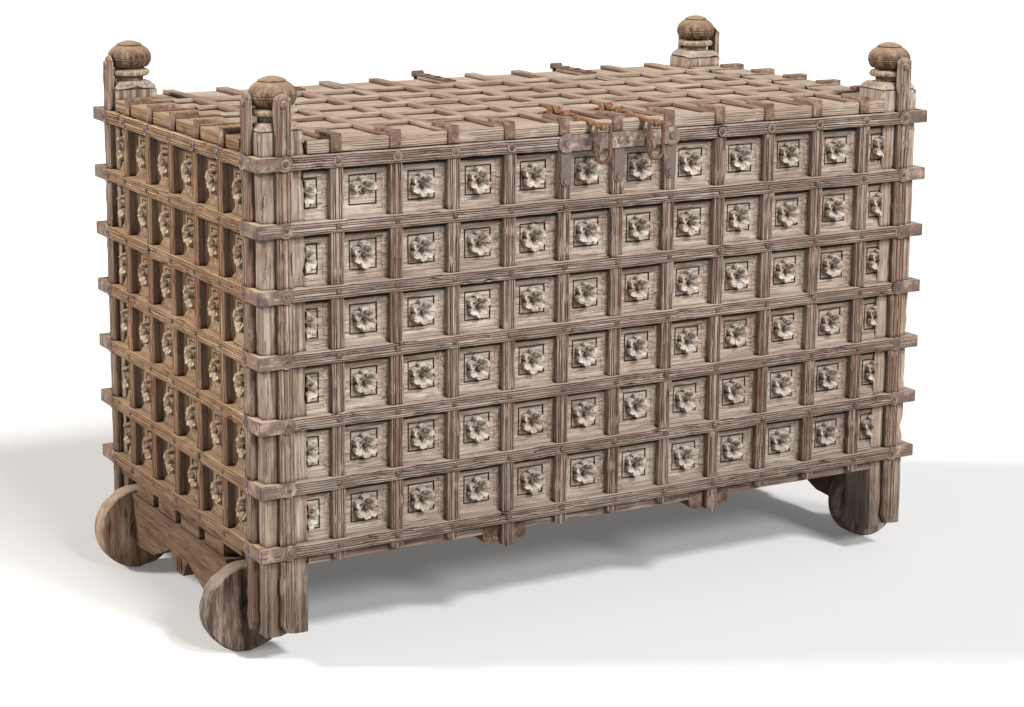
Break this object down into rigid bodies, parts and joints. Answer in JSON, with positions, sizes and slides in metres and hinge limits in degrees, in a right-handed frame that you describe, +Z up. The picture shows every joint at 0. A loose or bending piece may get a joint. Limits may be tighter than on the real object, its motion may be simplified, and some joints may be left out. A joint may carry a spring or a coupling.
{
  "type": "wheeled chest",
  "caption": "Large boarded wooden chest on solid wheels, bound by a nailed lattice with carved rosettes, with turned finials and a hinged lid closed by two iron hasps.",
  "frame": {"origin": "on the floor below the middle of the overall box", "axes": "+X along the front, right positive as seen from the front; +Y to the back; +Z up"},
  "size_m": [1.784, 0.9578, 1.184],
  "materials": {
    "pale_wood": "weathered",
    "brown_wood": "weathered",
    "batten_wood": "weathered",
    "tan_wood": "weathered",
    "dark_wood": "weathered",
    "iron": "rusted",
    "rust": "rusted",
    "dark_iron": "rusted"
  },
  "bodies": {
    "chest": {"post_front_left": "pale_wood", "finial_front_left": "brown_wood", "post_front_right": "pale_wood", "finial_front_right": "brown_wood", "post_back_left": "pale_wood", "finial_back_left": "brown_wood", "post_back_right": "pale_wood", "finial_back_right": "brown_wood", "post_straps": "batten_wood", "front_boards": "pale_wood", "back_boards": "pale_wood", "left_boards": "pale_wood", "right_boards": "pale_wood", "floor_boards": "brown_wood", "cross_bearers": "dark_wood", "sill_rails": "brown_wood", "left_axle_beam": "tan_wood", "right_axle_beam": "tan_wood", "front_bands": "batten_wood", "back_bands": "batten_wood", "left_bands": "batten_wood", "right_bands": "batten_wood", "front_battens": "batten_wood", "back_battens": "batten_wood", "left_battens": "batten_wood", "right_battens": "batten_wood", "front_coffers": "pale_wood", "back_coffers": "pale_wood", "left_coffers": "tan_wood", "right_coffers": "tan_wood", "front_rosettes": "pale_wood", "back_rosettes": "pale_wood", "left_rosettes": "tan_wood", "right_rosettes": "tan_wood", "front_nails": "dark_iron", "back_nails": "dark_iron", "end_nails": "dark_iron", "corner_irons": "iron", "left_top_rail": "tan_wood", "right_top_rail": "tan_wood", "end_edge_irons": "iron", "hasp_plate": "iron", "padlock_eyes": "dark_iron", "back_hinge_plates": "iron", "hinge_pins": "dark_iron"},
    "lid": {"lid_boards": "pale_wood", "lid_long_battens": "batten_wood", "lid_cross_battens": "batten_wood", "lid_edge_irons": "iron", "lid_hinge_straps": "iron", "hasp_feet": "rust"},
    "left_hasp_link": {"hasp_link_left": "rust"},
    "right_hasp_link": {"hasp_link_right": "rust"},
    "left_hasp_ring": {"hasp_ring_left": "rust"},
    "right_hasp_ring": {"hasp_ring_right": "rust"},
    "front_left_wheel": {"wheel_front_left": "dark_wood"},
    "front_right_wheel": {"wheel_front_right": "dark_wood"},
    "back_left_wheel": {"wheel_back_left": "dark_wood"},
    "back_right_wheel": {"wheel_back_right": "dark_wood"}
  },
  "joints": [
    {"name": "lid_hinge", "type": "hinge", "parent": "chest", "child": "lid", "pos_m": [0, 0.47087, 1.06375], "axis": [-1, 0, 0], "range_deg": [0, 95]},
    {"name": "left_link_hinge", "type": "hinge", "parent": "lid", "child": "left_hasp_link", "pos_m": [-0.065, -0.27553, 1.066], "axis": [-1, 0, 0], "range_deg": [0, 175]},
    {"name": "right_link_hinge", "type": "hinge", "parent": "lid", "child": "right_hasp_link", "pos_m": [0.065, -0.27553, 1.066], "axis": [-1, 0, 0], "range_deg": [0, 175]},
    {"name": "left_ring_hinge", "type": "hinge", "parent": "left_hasp_link", "child": "left_hasp_ring", "pos_m": [-0.065, -0.47087, 1.05364], "axis": [-1, 0, 0], "range_deg": [-24, 90]},
    {"name": "right_ring_hinge", "type": "hinge", "parent": "right_hasp_link", "child": "right_hasp_ring", "pos_m": [0.065, -0.47087, 1.05364], "axis": [-1, 0, 0], "range_deg": [-24, 90]},
    {"name": "front_left_wheel_spin", "type": "hinge", "parent": "chest", "child": "front_left_wheel", "pos_m": [-0.8, -0.29142, 0.092], "axis": [0, 1, 0], "continuous": true},
    {"name": "front_right_wheel_spin", "type": "hinge", "parent": "chest", "child": "front_right_wheel", "pos_m": [0.8, -0.29142, 0.092], "axis": [0, 1, 0], "continuous": true},
    {"name": "back_left_wheel_spin", "type": "hinge", "parent": "chest", "child": "back_left_wheel", "pos_m": [-0.8, 0.32038, 0.092], "axis": [0, 1, 0], "continuous": true},
    {"name": "back_right_wheel_spin", "type": "hinge", "parent": "chest", "child": "back_right_wheel", "pos_m": [0.8, 0.32038, 0.092], "axis": [0, 1, 0], "continuous": true}
  ]
}
